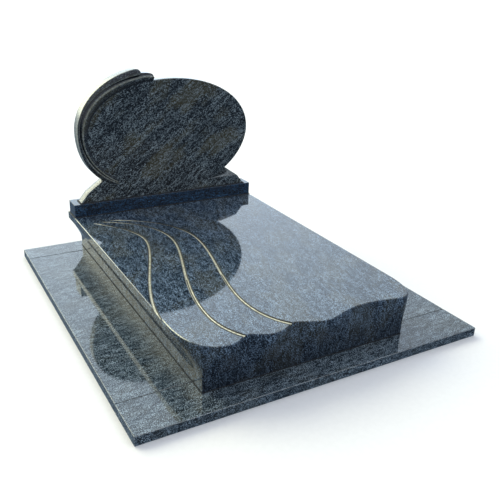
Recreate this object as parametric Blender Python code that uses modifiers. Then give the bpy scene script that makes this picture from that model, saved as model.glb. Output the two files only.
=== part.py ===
"""A polished granite grave monument, in metres, +Z up.

Four base stones lie on the ground as a frame. A thick carved tomb slab lies on them, a plinth
stands on the slab's rear end, and an oval headstone stands on the plinth. The foot of the grave
faces -Y, the headstone is at +Y, and the origin is on the ground under the middle of the base.
"""

import math

import bmesh
import bpy
from mathutils import Vector

# Base frame of four stones, with the margins that it shows round the slab's body
LEFT_MARGIN = 0.352
RIGHT_MARGIN = 0.403
FRONT_MARGIN = 0.131
REAR_MARGIN = 0.078
BASE_THICKNESS = 0.048
FRONT_STONE_DEPTH = 0.228
REAR_STONE_DEPTH = 0.158
STONE_JOINT = 0.003
SLAB_BEARING = 0.110
BASE_ARRIS = 0.003

# Tomb slab: a rectangular body under a wider top with a lobed front
TOMB_WIDTH = 1.115
TOMB_LENGTH = 1.791
TOMB_HEIGHT = 0.232
UPRIGHT_HEIGHT = 0.065
LIP_HEIGHT = 0.045
SIDE_OVERHANG = 0.062
REAR_OVERHANG = 0.042
LOBE_REACH = 0.048
CORNER_RUN_LEFT = 0.260
CORNER_RUN_RIGHT = 0.200

# Grooves of the three folds on the slab's top
GROOVE_RADIUS = 0.008
GROOVE_DEPTH = 0.005
GROOVE_START_RISE = 0.007
GROOVE_STEPS = 12
GROOVE_RESOLUTION = 2

# Plinth
PLINTH_HEIGHT = 0.0825
PLINTH_DEPTH = 0.120
PLINTH_INSET = 0.003
PLINTH_REAR_LEDGE = 0.034
PLINTH_ARRIS = 0.002

# Headstone
HEADSTONE_HEIGHT = 0.798
HEADSTONE_THICKNESS = 0.068
HEADSTONE_SETBACK = 0.011
FOOT_WIDTH = 1.146
SHOULDER_HEIGHT = 0.063
NECK_HEIGHT = 0.134
SHOULDER_INSET = 0.051
NECK_INSET = 0.150
FOOT_TOP_HEIGHT = 0.201
FOOT_TOP_INSET = 0.235
FACET_START = 0.183
FACET_ANGLE = math.radians(40)
OUTER_CREST = 0.020
INNER_CREST = 0.012
BAND_ROOT = 0.0015
BAND_BACK_STEP = 0.0006

# Clearance that every stone keeps to the one it rests on
BED = 0.0003
SMOOTH_ANGLE = math.radians(30)
ARRIS_SEGMENTS = 2

# Places worked out from the sizes above
BASE_WIDTH = LEFT_MARGIN + TOMB_WIDTH + RIGHT_MARGIN
BASE_LENGTH = FRONT_MARGIN + TOMB_LENGTH + REAR_MARGIN
BASE_LEFT = -BASE_WIDTH / 2
BASE_RIGHT = BASE_WIDTH / 2
BASE_FRONT = -BASE_LENGTH / 2
BASE_REAR = BASE_LENGTH / 2
TOMB_LEFT = BASE_LEFT + LEFT_MARGIN
TOMB_FRONT = BASE_FRONT + FRONT_MARGIN
TOMB_BOTTOM = BASE_THICKNESS + BED
TOMB_TOP = BASE_THICKNESS + TOMB_HEIGHT
PLINTH_BOTTOM = TOMB_TOP + BED
PLINTH_TOP = TOMB_TOP + PLINTH_HEIGHT
PLINTH_REAR = TOMB_FRONT + TOMB_LENGTH + REAR_OVERHANG - PLINTH_REAR_LEDGE
PLINTH_FRONT = PLINTH_REAR - PLINTH_DEPTH
HEADSTONE_BOTTOM = PLINTH_TOP + BED
HEADSTONE_FACE = PLINTH_FRONT + HEADSTONE_SETBACK
MONUMENT_AXIS = TOMB_LEFT + TOMB_WIDTH / 2

# Front wave of the slab's top, as handles and knots of a smooth curve. The first number is a
# share of the body's width from its left face, the second a share of the lobes' reach.
WAVE_START = (0.094, 0.81)
FRONT_WAVE = (
    ((0.130, 0.81), (0.157, 0.37), (0.181, -0.08)),
    ((0.220, -0.04), (0.247, 0.83), (0.289, 0.85)),
    ((0.327, 0.87), (0.366, 0.46), (0.396, -0.08)),
    ((0.438, -0.06), (0.489, 1.00), (0.550, 1.00)),
    ((0.610, 1.00), (0.646, 0.00), (0.753, -0.04)),
    ((0.870, -0.12), (0.906, 0.56), (0.958, 0.56)),
)
WAVE_STEPS = 9
CORNER_STEPS = 9

# Handles of the rounded front corners: shares of the side overhang, the lobes' reach and the
# corner's run along the side
LEFT_FRONT_HANDLE = (0.08, 0.73)
LEFT_SIDE_HANDLE = 0.23
RIGHT_FRONT_HANDLE = (0.40, 0.62)
RIGHT_SIDE_HANDLE = 0.30

# Slope under the lip, from the upright to the overhang: shares of its height and its reach
SLOPE_PROFILE = ((0.35, 0.26), (0.70, 0.60))

# Folds on the slab's top, from the plinth to the front: knots and handles of smooth curves.
# The first number is a share of the body's width, the second a share of its length.
FOLDS = (
    ((0.000, 0.871), (0.108, 0.810), (0.186, 0.743), (0.186, 0.670),
     (0.186, 0.558), (-0.045, 0.335), (-0.060, 0.160)),
    ((0.036, 0.871), (0.179, 0.838), (0.318, 0.759), (0.316, 0.642),
     (0.316, 0.519), (0.120, 0.307), (0.120, 0.123),
     (0.120, 0.072), (0.142, 0.028), (0.186, -0.008)),
    ((0.072, 0.874), (0.269, 0.849), (0.436, 0.737), (0.436, 0.614),
     (0.436, 0.469), (0.309, 0.290), (0.309, 0.156),
     (0.309, 0.089), (0.336, 0.034), (0.402, -0.008)),
)

# Headstone outlines as shares of its height, from the middle of its foot: x, then z.
# The disc is an ellipse, and two bands lie on its left edge, one over the other.
DISC_CENTRE = (-0.035, 0.439)
DISC_HALF_LENGTH = 0.770
DISC_HALF_HEIGHT = 0.476
DISC_TILT = math.radians(7.1)
DISC_TOP_ANGLE = math.radians(97)
DISC_FOOT_ANGLE = math.radians(-62)
BANDS_END = (-0.307, 0.096)
OUTER_EDGE = (BANDS_END, (-0.551, 0.113), (-0.709, 0.276), (-0.709, 0.539),
              (-0.709, 0.777), (-0.501, 0.946), (-0.257, 0.999))
OUTER_STEP = (BANDS_END, (-0.501, 0.148), (-0.694, 0.313), (-0.694, 0.551),
              (-0.694, 0.752), (-0.501, 0.909), (-0.213, 0.955))
INNER_STEP = (BANDS_END, (-0.451, 0.182), (-0.640, 0.313), (-0.640, 0.489),
              (-0.640, 0.702), (-0.476, 0.852), (-0.150, 0.912))
OUTER_TIP = ((-0.230, 1.004), (-0.208, 0.998), (-0.206, 0.976))
OUTER_TIP_UNDER = ((-0.207, 0.955), (-0.205, 0.962), (-0.206, 0.976))
INNER_TIP = ((-0.168, 0.970), (-0.099, 0.978), (-0.093, 0.935))
INNER_TIP_UNDER = ((-0.125, 0.909), (-0.096, 0.904), (-0.093, 0.935))
TIP_STEPS = 5
BAND_STEPS = 14
DISC_STEPS = 40

# Bands' faces from their inner edge outwards: share of the width, then share of the crest's
# height. They swell out of the disc over the first part of their length.
OUTER_PROFILE = ((0.0, 0.30), (0.10, 0.90), (0.25, 1.0), (0.60, 0.88), (1.0, 0.45))
INNER_PROFILE = ((0.0, 0.30), (0.06, 0.70), (0.24, 0.90), (0.42, 1.0), (0.62, 0.45), (1.0, 0.0))
INNER_TUCK = 0.30
BAND_SWELL = 0.36


def clear_scene():
    """Remove every object of the open scene."""
    for item in list(bpy.data.objects):
        bpy.data.objects.remove(item, do_unlink=True)


def collection(name):
    """Return a new collection linked to the scene."""
    group = bpy.data.collections.new(name)
    bpy.context.scene.collection.children.link(group)
    return group


def granite(name, colour, roughness):
    """Return a polished stone material."""
    material = bpy.data.materials.new(name)
    material.use_nodes = True
    shader = material.node_tree.nodes["Principled BSDF"]
    shader.inputs["Base Color"].default_value = (*colour, 1.0)
    shader.inputs["Roughness"].default_value = roughness
    shader.inputs["Metallic"].default_value = 0.0
    return material


def add_object(name, mesh, group, material=None):
    """Link a mesh as a named object, shaded smooth but for its sharp edges."""
    piece = bpy.data.objects.new(name, mesh)
    group.objects.link(piece)
    if material:
        mesh.materials.append(material)
    mesh.shade_smooth()
    mesh.set_sharp_from_angle(angle=SMOOTH_ANGLE)
    return piece


def add_block(name, low, high, arris, group, material):
    """Add a rectangular stone between two corners, with its edges bevelled."""
    mesh = bpy.data.meshes.new(name)
    shape = bmesh.new()
    bmesh.ops.create_cube(shape, size=1.0)
    size = Vector(high) - Vector(low)
    bmesh.ops.scale(shape, vec=size, verts=shape.verts)
    shape.to_mesh(mesh)
    shape.free()
    block = add_object(name, mesh, group, material)
    block.location = (Vector(low) + Vector(high)) / 2
    bevel = block.modifiers.new("Arris", "BEVEL")
    bevel.width = arris
    bevel.segments = ARRIS_SEGMENTS
    return block


def bezier(points, steps):
    """Return points along joined cubic curves, without the first curve's start."""
    run = []
    for start in range(0, len(points) - 3, 3):
        a, b, c, d = (Vector(p) for p in points[start:start + 4])
        for step in range(1, steps + 1):
            t = step / steps
            s = 1.0 - t
            run.append(a * s ** 3 + b * 3 * s * s * t + c * 3 * s * t * t + d * t ** 3)
    return run


def slab_outline():
    """Return the slab's top outline, from the rear left corner along the left side and the front."""
    wave = [Vector((WAVE_START[0] * TOMB_WIDTH, -WAVE_START[1] * LOBE_REACH))]
    for stretch in FRONT_WAVE:
        knots = [wave[-1]]
        for across, reach in stretch:
            knots.append(Vector((across * TOMB_WIDTH, -reach * LOBE_REACH)))
        wave += bezier(knots, WAVE_STEPS)
    left_edge = -SIDE_OVERHANG
    right_edge = TOMB_WIDTH + SIDE_OVERHANG
    rear_edge = TOMB_LENGTH + REAR_OVERHANG
    left_start = Vector((left_edge, CORNER_RUN_LEFT))
    right_start = Vector((right_edge, CORNER_RUN_RIGHT))
    left_side = Vector((left_edge, CORNER_RUN_LEFT * LEFT_SIDE_HANDLE))
    right_side = Vector((right_edge, CORNER_RUN_RIGHT * RIGHT_SIDE_HANDLE))
    out, reach = LEFT_FRONT_HANDLE
    left_front = Vector((-SIDE_OVERHANG * out, -LOBE_REACH * reach))
    out, reach = RIGHT_FRONT_HANDLE
    right_front = Vector((TOMB_WIDTH + SIDE_OVERHANG * out, -LOBE_REACH * reach))
    left_corner = bezier((left_start, left_side, left_front, wave[0]), CORNER_STEPS)
    right_corner = bezier((wave[-1], right_front, right_side, right_start), CORNER_STEPS)
    outline = [Vector((left_edge, rear_edge)), left_start]
    outline += left_corner[:-1] + wave + right_corner
    outline.append(Vector((right_edge, rear_edge)))
    return outline


def slab_feet(outline):
    """Return for each outline point the point of the rectangular body that it stands over."""
    corners = (Vector((0.0, 0.0)), Vector((TOMB_WIDTH, 0.0)))
    turns = [min(range(len(outline)), key=lambda i: (outline[i] - corner).length) for corner in corners]
    feet = []
    for index, point in enumerate(outline):
        along = min(max(point.y, 0.0), TOMB_LENGTH)
        across = min(max(point.x, 0.0), TOMB_WIDTH)
        if index < turns[0]:
            feet.append(Vector((0.0, along)))
        elif index > turns[1]:
            feet.append(Vector((TOMB_WIDTH, along)))
        elif index in turns:
            feet.append(corners[turns.index(index)])
        else:
            feet.append(Vector((across, 0.0)))
    return feet


def slab_sections():
    """Return the levels of the slab's side: height above the slab's bed, and share of the overhang."""
    lip_bottom = TOMB_HEIGHT - LIP_HEIGHT
    slope = lip_bottom - UPRIGHT_HEIGHT
    sections = [(0.0, 0.0), (UPRIGHT_HEIGHT, 0.0)]
    sections += [(UPRIGHT_HEIGHT + slope * up, out) for up, out in SLOPE_PROFILE]
    sections += [(lip_bottom - BED, 1.0), (TOMB_HEIGHT - BED, 1.0)]
    return sections


def loft(name, sections):
    """Return the closed mesh that runs through sections with as many points each."""
    shape = bmesh.new()
    rings = [[shape.verts.new(spot) for spot in section] for section in sections]
    for lower, upper in zip(rings, rings[1:]):
        for i, corner in enumerate(lower):
            after = (i + 1) % len(lower)
            shape.faces.new((corner, lower[after], upper[after], upper[i]))
    shape.faces.new(rings[-1])
    shape.faces.new(reversed(rings[0]))
    bmesh.ops.recalc_face_normals(shape, faces=shape.faces)
    mesh = bpy.data.meshes.new(name)
    shape.to_mesh(mesh)
    shape.free()
    return mesh


def slab_body(group, material):
    """Loft the slab from its rectangular bed to its lobed top."""
    outline = slab_outline()
    feet = slab_feet(outline)
    sections = []
    for height, share in slab_sections():
        spots = [foot.lerp(top, share) for top, foot in zip(outline, feet)]
        sections.append([(spot.x, spot.y, height) for spot in spots])
    slab = add_object("tomb_slab", loft("tomb_slab", sections), group, material)
    slab.location = (TOMB_LEFT, TOMB_FRONT, TOMB_BOTTOM)
    return slab


def mesh_from_curve(curve_object, group):
    """Replace a curve object by a welded mesh object in the same place."""
    depsgraph = bpy.context.evaluated_depsgraph_get()
    mesh = bpy.data.meshes.new_from_object(curve_object.evaluated_get(depsgraph))
    shape = bmesh.new()
    shape.from_mesh(mesh)
    bmesh.ops.remove_doubles(shape, verts=shape.verts, dist=0.00001)
    bmesh.ops.recalc_face_normals(shape, faces=shape.faces)
    shape.to_mesh(mesh)
    shape.free()
    name = curve_object.name
    place = curve_object.matrix_world.copy()
    bpy.data.objects.remove(curve_object, do_unlink=True)
    piece = bpy.data.objects.new(name, mesh)
    piece.matrix_world = place
    group.objects.link(piece)
    return piece


def groove_cutter(name, fold, group):
    """Add the rod that cuts one fold's groove; it rises out of the stone at the plinth's end."""
    knots = [Vector((across * TOMB_WIDTH, along * TOMB_LENGTH)) for across, along in fold]
    route = [knots[0]] + bezier(knots, GROOVE_STEPS)
    data = bpy.data.curves.new(name, "CURVE")
    data.dimensions = "3D"
    data.bevel_depth = GROOVE_RADIUS
    data.bevel_resolution = GROOVE_RESOLUTION
    data.use_fill_caps = True
    line = data.splines.new("POLY")
    line.points.add(len(route) - 1)
    deep = TOMB_HEIGHT + GROOVE_RADIUS - GROOVE_DEPTH
    for index, spot in enumerate(route):
        rise = GROOVE_START_RISE * max(0.0, 1.0 - index / GROOVE_STEPS) ** 2
        line.points[index].co = (spot.x, spot.y, deep + rise, 1.0)
    rod = bpy.data.objects.new(name, data)
    group.objects.link(rod)
    rod.location = (TOMB_LEFT, TOMB_FRONT, BASE_THICKNESS)
    bpy.context.view_layer.update()
    return mesh_from_curve(rod, group)


def hide_cutter(piece):
    """Keep a cutter out of the built parts."""
    piece.hide_render = True
    piece.display_type = "WIRE"


def combine(target, other, operation):
    """Cut a piece with another, or join the other to it."""
    step = target.modifiers.new(f"{operation.title()} {other.name}", "BOOLEAN")
    step.operation = operation
    step.solver = "EXACT"
    step.object = other
    hide_cutter(other)


def tomb_slab(parts, cutters, material):
    """Make the slab and cut the grooves of its folds."""
    slab = slab_body(parts, material)
    for number, fold in enumerate(FOLDS, start=1):
        combine(slab, groove_cutter(f"fold_groove_{number}", fold, cutters), "DIFFERENCE")
    return slab


def plate(name, outline, front, rear, group):
    """Add an upright plate of a flat outline between two distances from the headstone's face."""
    data = bpy.data.curves.new(name, "CURVE")
    data.dimensions = "2D"
    data.fill_mode = "BOTH"
    data.extrude = (rear - front) / 2
    line = data.splines.new("POLY")
    line.use_cyclic_u = True
    line.points.add(len(outline) - 1)
    for point, spot in zip(line.points, outline):
        point.co = (spot[0], spot[1], 0.0, 1.0)
    flat = bpy.data.objects.new(name, data)
    group.objects.link(flat)
    flat.rotation_euler = (math.pi / 2, 0.0, 0.0)
    flat.location = (MONUMENT_AXIS, HEADSTONE_FACE + (front + rear) / 2, HEADSTONE_BOTTOM)
    bpy.context.view_layer.update()
    return mesh_from_curve(flat, group)


def headstone_share(spot):
    """Return a point of the headstone's outline in metres from the middle of its foot."""
    return Vector((spot[0] * HEADSTONE_HEIGHT, spot[1] * HEADSTONE_HEIGHT))


def disc_point(angle):
    """Return a point of the disc's ellipse in metres from the middle of the headstone's foot."""
    along = DISC_HALF_LENGTH * math.cos(angle)
    up = DISC_HALF_HEIGHT * math.sin(angle)
    x = DISC_CENTRE[0] + along * math.cos(DISC_TILT) - up * math.sin(DISC_TILT)
    z = DISC_CENTRE[1] + along * math.sin(DISC_TILT) + up * math.cos(DISC_TILT)
    return headstone_share((x, z))


def band_curve(knots):
    """Return the points along one edge of a band, from the bands' common end to the tip."""
    spots = [headstone_share(spot) for spot in knots]
    return [spots[0]] + bezier(spots, BAND_STEPS)


def to_tip(start, knots):
    """Return the points that carry one edge of a band on to the end of its rounded tip."""
    return bezier([start] + [headstone_share(spot) for spot in knots], TIP_STEPS)


def band(name, near_edge, far_edge, profile, crest, back, group):
    """Loft a band along its two edges, with its crest in front of the disc's face."""
    last = len(near_edge) - 1
    sections = []
    for index in range(1, last):
        near, far = near_edge[index], far_edge[index]
        swell = min(1.0, index / last / BAND_SWELL)
        swell = swell * swell * (3.0 - 2.0 * swell)
        section = [(near, HEADSTONE_THICKNESS / 2)]
        section += [(near.lerp(far, out), BAND_ROOT - crest * rise * swell) for out, rise in profile]
        section += [(far, back), (near, back)]
        sections.append([(spot.x, depth, spot.y) for spot, depth in section])
    piece = bpy.data.objects.new(name, loft(name, sections))
    piece.location = (MONUMENT_AXIS, HEADSTONE_FACE, HEADSTONE_BOTTOM)
    group.objects.link(piece)
    return piece


def disc_outline():
    """Return the disc: its ellipse on the right, and the inner band's line on the left."""
    left = band_curve(INNER_STEP)
    middle = band_curve(OUTER_STEP)
    hidden = [(near + far) / 2 for near, far in zip(left, middle)]
    ellipse = []
    for step in range(DISC_STEPS + 1):
        share = step / DISC_STEPS
        ellipse.append(disc_point(DISC_TOP_ANGLE + (DISC_FOOT_ANGLE - DISC_TOP_ANGLE) * share))
    return hidden[1:-2] + ellipse


def foot_outline():
    """Return the flared foot with its sloping shoulders and the neck inside the disc."""
    half = FOOT_WIDTH / 2
    right = [
        Vector((half, 0.0)),
        Vector((half - SHOULDER_INSET, SHOULDER_HEIGHT)),
        Vector((half - NECK_INSET, NECK_HEIGHT)),
        Vector((half - FOOT_TOP_INSET, FOOT_TOP_HEIGHT)),
    ]
    left = [Vector((-spot.x, spot.y)) for spot in reversed(right)]
    return right + left


def facet_cutter(group):
    """Add the tilted block that bevels the foot's right shoulder back from its front edge."""
    low = Vector((FACET_START, -HEADSTONE_THICKNESS, 0.0))
    high = Vector((FOOT_WIDTH / 2 + SHOULDER_INSET, HEADSTONE_THICKNESS * 2, HEADSTONE_THICKNESS))
    mesh = bpy.data.meshes.new("shoulder_facet")
    shape = bmesh.new()
    bmesh.ops.create_cube(shape, size=1.0)
    bmesh.ops.scale(shape, vec=high - low, verts=shape.verts)
    bmesh.ops.translate(shape, vec=(high + low) / 2, verts=shape.verts)
    shape.to_mesh(mesh)
    shape.free()
    block = bpy.data.objects.new("shoulder_facet", mesh)
    group.objects.link(block)
    block.rotation_euler.x = FACET_ANGLE
    block.location = (MONUMENT_AXIS, HEADSTONE_FACE, HEADSTONE_BOTTOM + SHOULDER_HEIGHT)
    return block


def headstone(parts, cutters, material):
    """Make the headstone: foot and disc in one plane, and two bands rising out of its face."""
    outer_edge = band_curve(OUTER_EDGE)
    outer_step = band_curve(OUTER_STEP)
    inner_step = band_curve(INNER_STEP)
    tucked = [step.lerp(edge, INNER_TUCK) for edge, step in zip(outer_edge, outer_step)]
    tucked += to_tip(tucked[-1], INNER_TIP)
    inner_step += to_tip(inner_step[-1], INNER_TIP_UNDER)
    outer_step += to_tip(outer_step[-1], OUTER_TIP_UNDER)
    outer_edge += to_tip(outer_edge[-1], OUTER_TIP)
    stone = plate("headstone", foot_outline(), 0.0, HEADSTONE_THICKNESS, parts)
    stone.data.materials.append(material)
    combine(stone, facet_cutter(cutters), "DIFFERENCE")
    back = HEADSTONE_THICKNESS - BAND_BACK_STEP
    disc = plate("disc", disc_outline(), BAND_BACK_STEP / 2, back, cutters)
    combine(stone, disc, "UNION")
    inner = band("inner_band", inner_step, tucked, INNER_PROFILE, INNER_CREST,
                 back - BAND_BACK_STEP, cutters)
    combine(stone, inner, "UNION")
    outer = band("outer_band", outer_step, outer_edge, OUTER_PROFILE, OUTER_CREST,
                 back - 2 * BAND_BACK_STEP, cutters)
    combine(stone, outer, "UNION")
    return stone


def base_frame(parts, material):
    """Make the four base stones: front and rear over the full width, two sides between them."""
    front_joint = BASE_FRONT + FRONT_STONE_DEPTH
    rear_joint = BASE_REAR - REAR_STONE_DEPTH
    side_front = front_joint + STONE_JOINT
    side_rear = rear_joint - STONE_JOINT
    left_inner = TOMB_LEFT + SLAB_BEARING
    right_inner = TOMB_LEFT + TOMB_WIDTH - SLAB_BEARING
    stones = (
        ("base_front", (BASE_LEFT, BASE_FRONT), (BASE_RIGHT, front_joint)),
        ("base_left", (BASE_LEFT, side_front), (left_inner, side_rear)),
        ("base_right", (right_inner, side_front), (BASE_RIGHT, side_rear)),
        ("base_rear", (BASE_LEFT, rear_joint), (BASE_RIGHT, BASE_REAR)),
    )
    for name, low, high in stones:
        add_block(name, (*low, 0.0), (*high, BASE_THICKNESS), BASE_ARRIS, parts, material)


def plinth(parts, material):
    """Make the rectangular plinth on the slab's rear end."""
    left = TOMB_LEFT - SIDE_OVERHANG + PLINTH_INSET
    right = TOMB_LEFT + TOMB_WIDTH + SIDE_OVERHANG - PLINTH_INSET
    add_block("plinth", (left, PLINTH_FRONT, PLINTH_BOTTOM), (right, PLINTH_REAR, PLINTH_TOP),
              PLINTH_ARRIS, parts, material)


def main():
    """Build the monument from the ground up."""
    clear_scene()
    parts = collection("tombstone")
    cutters = collection("tombstone_cutters")
    base_frame(parts, granite("base_granite", (0.11, 0.13, 0.15), 0.10))
    tomb_slab(parts, cutters, granite("slab_granite", (0.11, 0.13, 0.15), 0.10))
    polished = granite("headstone_granite", (0.09, 0.11, 0.13), 0.12)
    plinth(parts, polished)
    headstone(parts, cutters, polished)


main()
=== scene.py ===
"""Looks of a polished granite grave monument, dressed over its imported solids. Metres, +Z up.

The foot of the grave faces -Y and the headstone stands at +Y. The base stones and the plinth keep
their solids, and the tomb slab and the headstone get finer meshes in the same places.
"""

import logging
import math
from dataclasses import dataclass
from enum import Enum
from functools import cache

import bmesh
import bpy
from mathutils import Euler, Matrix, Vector

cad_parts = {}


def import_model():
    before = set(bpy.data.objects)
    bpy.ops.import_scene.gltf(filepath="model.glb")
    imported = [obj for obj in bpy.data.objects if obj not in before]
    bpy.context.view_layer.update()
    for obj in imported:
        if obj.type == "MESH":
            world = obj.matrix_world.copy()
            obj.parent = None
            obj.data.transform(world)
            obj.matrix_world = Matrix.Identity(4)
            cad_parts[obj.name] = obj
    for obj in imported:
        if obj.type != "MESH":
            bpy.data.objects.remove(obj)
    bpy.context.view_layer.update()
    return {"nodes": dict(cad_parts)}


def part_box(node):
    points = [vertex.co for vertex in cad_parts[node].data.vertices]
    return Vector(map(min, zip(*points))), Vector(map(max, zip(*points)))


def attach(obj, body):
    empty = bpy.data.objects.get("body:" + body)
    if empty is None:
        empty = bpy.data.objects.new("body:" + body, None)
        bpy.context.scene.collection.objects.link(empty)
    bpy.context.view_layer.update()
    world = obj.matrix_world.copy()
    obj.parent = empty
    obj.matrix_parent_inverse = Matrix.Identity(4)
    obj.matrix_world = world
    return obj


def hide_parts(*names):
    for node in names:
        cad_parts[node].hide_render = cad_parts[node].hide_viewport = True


LOG = logging.getLogger("monument")
BODY = "root"
# The crest attribute carries a painted highlight and the crease attribute painted shade.
PAINTED_HIGHLIGHT = "crest"
PAINTED_SHADE = "painted_crease_shade"
TOUCH = 0.001
HAIRPIN = 0.2
MITRE_LIMIT = 0.5
ARRIS_STEPS = 3
SMOOTH_ANGLE = math.radians(35.0)

Colour = tuple[float, float, float]
Share = tuple[float, float]


class Lay(Enum):
    """Which way a stone's grains run: how the grain is turned, and how it is squeezed along each axis."""

    ACROSS = ((0.0, 0.0, 0.08), (0.58, 1.0, 1.0))
    RISING = ((0.0, -0.64, 0.0), (0.40, 1.0, 1.0))
    LENGTHWISE = ((0.0, 0.0, -0.20), (1.0, 0.60, 0.48))


class Edge(Enum):
    """How a stone's edge is finished."""

    SHARP = 0.0008
    ROUNDED = 0.0045


class Bead(Enum):
    """How big the bead that paints the contact shadow under a stone is."""

    UNDER_SLAB = 0.0045
    UNDER_PLINTH = 0.0060
    UNDER_HEADSTONE = 0.0070


@dataclass(frozen=True)
class Granite:
    """One polished granite, with the tones of its minerals and the lay of its grains."""

    slot: str
    dark: Colour
    middle: Colour
    light: Colour
    warm: Colour
    lay: Lay
    warm_amount: float
    streaks: float = 0.35
    polish: float = 0.045
    # pale is the colour of the painted highlight on crests, rims and the slab's lit left arris.
    pale: Colour = (0.84, 0.82, 0.62)

    def material(self, name: str, box: tuple[Vector, Vector] | None = None, ground: float = 1.0,
                 painted_light: bool = False) -> bpy.types.Material:
        """Make the stone's material.

        Args:
            name: The material's name.
            box: Lowest and highest corner of a block whose arrises are ground and carry a painted highlight,
                or None.
            ground: How strong the pale arris line with its painted highlight is.
            painted_light: Whether the mesh carries painted highlights on its crests and painted shade in its
                creases.

        Returns:
            The material.
        """
        material = bpy.data.materials.new(name)
        material.use_nodes = True
        tree = material.node_tree
        shader = tree.nodes["Principled BSDF"]
        shader.inputs["IOR"].default_value = 1.5
        turn, squeeze = self.lay.value
        grain = add_group(tree, grain_group(), {
            "Turn": turn, "Squeeze": squeeze, "Streaks": self.streaks,
            "Warm Amount": self.warm_amount, "Polish": self.polish,
            "Dark": (*self.dark, 1.0), "Middle": (*self.middle, 1.0),
            "Light": (*self.light, 1.0), "Warm": (*self.warm, 1.0)})
        tree.links.new(grain.outputs["Roughness"], shader.inputs["Roughness"])
        colour = grain.outputs["Color"]
        if box is not None:
            arris = add_group(tree, arris_group(), {"Low": box[0], "High": box[1], "Strength": ground})
            tree.links.new(colour, arris.inputs["Stone"])
            colour = arris.outputs["Color"]
        if painted_light:
            relief = add_group(tree, relief_light_group(), {"Pale": (*self.pale, 1.0)})
            tree.links.new(colour, relief.inputs["Stone"])
            colour = relief.outputs["Color"]
        tree.links.new(colour, shader.inputs["Base Color"])
        return material


@dataclass(frozen=True)
class PlainFinish:
    """A finish with one colour broken up by a fine grit."""

    tone: Colour
    roughness: float
    grit: float = 0.15
    grit_scale: float = 600.0

    def material(self, name: str) -> bpy.types.Material:
        """Make the finish's material.

        Args:
            name: The material's name.

        Returns:
            The material.
        """
        material = bpy.data.materials.new(name)
        material.use_nodes = True
        tree = material.node_tree
        shader = tree.nodes["Principled BSDF"]
        shader.inputs["Roughness"].default_value = self.roughness
        grit = add_group(tree, grit_group(), {
            "Tone": (*self.tone, 1.0), "Amount": self.grit, "Scale": self.grit_scale})
        tree.links.new(grit.outputs["Color"], shader.inputs["Base Color"])
        return material


BASE_STONE = Granite("base_granite", (0.003, 0.007, 0.012), (0.026, 0.042, 0.056),
                     (0.31, 0.38, 0.43), (0.060, 0.058, 0.040), Lay.ACROSS, warm_amount=0.30)
SLAB_STONE = Granite("slab_granite", (0.001, 0.004, 0.010), (0.012, 0.028, 0.048),
                     (0.23, 0.31, 0.40), (0.050, 0.047, 0.028), Lay.LENGTHWISE, warm_amount=0.55)
HEAD_STONE = Granite("headstone_granite", (0.001, 0.002, 0.004), (0.010, 0.018, 0.025),
                     (0.29, 0.34, 0.35), (0.058, 0.050, 0.024), Lay.RISING, warm_amount=0.90)
PLINTH_STONE = Granite("headstone_granite", (0.001, 0.002, 0.005), (0.002, 0.010, 0.026),
                       (0.05, 0.13, 0.24), (0.010, 0.015, 0.022), Lay.ACROSS, warm_amount=0.20)
# Painted reflections in the folds: dark on the grooves' shoulders, pale cream in their bottoms.
GROOVE_FLANK_DARK_REFLECTION = PlainFinish((0.012, 0.012, 0.005), 0.55)
GROOVE_BED_LIT_REFLECTION = PlainFinish((0.82, 0.78, 0.58), 0.25, grit=0.50, grit_scale=70.0)
# Near-black beads round the stones' feet paint the contact shadow in the joints.
CONTACT_SHADOW_TONE = PlainFinish((0.002, 0.003, 0.004), 0.70)
FLOOR = PlainFinish((0.92, 0.89, 0.86), 0.85, grit=0.02, grit_scale=40.0)


def add_group(tree: bpy.types.NodeTree, group: bpy.types.NodeTree,
              values: dict[str, object]) -> bpy.types.Node:
    """Add a shared node group to a material and set its inputs.

    Args:
        tree: The material's nodes.
        group: The shared group.
        values: The inputs' values by name.

    Returns:
        The group's node.
    """
    node = tree.nodes.new("ShaderNodeGroup")
    node.node_tree = group
    for socket, value in values.items():
        node.inputs[socket].default_value = value
    return node


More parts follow.
